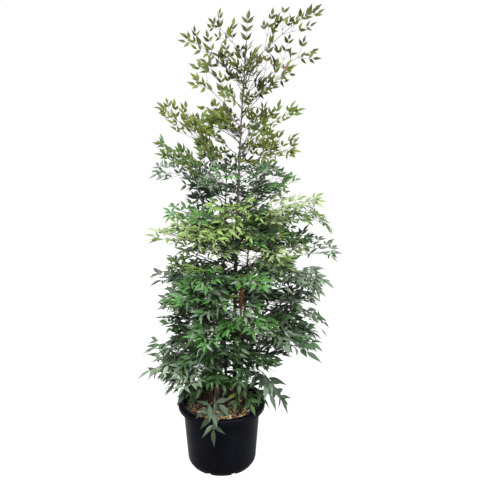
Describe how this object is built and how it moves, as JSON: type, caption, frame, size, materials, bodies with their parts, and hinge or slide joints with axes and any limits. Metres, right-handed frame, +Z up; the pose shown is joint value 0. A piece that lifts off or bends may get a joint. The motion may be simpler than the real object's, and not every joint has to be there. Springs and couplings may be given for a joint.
{
  "type": "heavenly bamboo shrub in a nursery pot",
  "caption": "Tall, slender heavenly bamboo: a clump of upright canes with layered sprays of narrow leaflets, standing in a round black nursery pot.",
  "frame": {"origin": "centre of the pot's flat underside", "axes": "+Z up along the canes; the pot's axis is the Z axis; -Y is the side seen from the front, where foliage hangs over the rim; +X is the right-hand side seen from there, towards which the tall cane leans"},
  "size_m": [0.8463, 0.6534, 1.918],
  "materials": {
    "pot": "satin black, blow-moulded",
    "potting_mix": "rough, moist bark chips",
    "cane": "brown bark with leaf sheaths",
    "foliage": "smooth leathery leaflets"
  },
  "bodies": {
    "root": {"pot": "pot", "potting_mix": "potting_mix", "tall_cane": "cane", "left_cane": "cane", "side_cane": "cane", "right_cane": "cane", "outer_cane": "cane", "front_left_cane": "cane", "front_right_cane": "cane", "back_cane": "cane", "tall_spray_1": "foliage", "tall_spray_2": "foliage", "tall_spray_3": "foliage", "tall_spray_4": "foliage", "tall_spray_5": "foliage", "tall_spray_6": "foliage", "tall_spray_7": "foliage", "tall_spray_8": "foliage", "tall_spray_9": "foliage", "tall_spray_10": "foliage", "tall_spray_11": "foliage", "tall_spray_12": "foliage", "tall_spray_13": "foliage", "tall_spray_14": "foliage", "tall_spray_15": "foliage", "tall_spray_16": "foliage", "tall_spray_17": "foliage", "left_spray_1": "foliage", "left_spray_2": "foliage", "left_spray_3": "foliage", "left_spray_4": "foliage", "left_spray_5": "foliage", "left_spray_6": "foliage", "left_spray_7": "foliage", "side_spray_1": "foliage", "side_spray_2": "foliage", "side_spray_3": "foliage", "side_spray_4": "foliage", "side_spray_5": "foliage", "side_spray_6": "foliage", "side_spray_7": "foliage", "right_spray_1": "foliage", "right_spray_2": "foliage", "right_spray_3": "foliage", "outer_spray_1": "foliage", "outer_spray_2": "foliage", "outer_spray_3": "foliage", "outer_spray_4": "foliage", "outer_spray_5": "foliage", "front_left_spray_1": "foliage", "front_left_spray_2": "foliage", "front_left_spray_3": "foliage", "front_left_spray_4": "foliage", "front_left_spray_5": "foliage", "front_right_spray_1": "foliage", "front_right_spray_2": "foliage", "front_right_spray_3": "foliage", "front_right_spray_4": "foliage", "back_spray_1": "foliage", "back_spray_2": "foliage"}
  },
  "joints": []
}
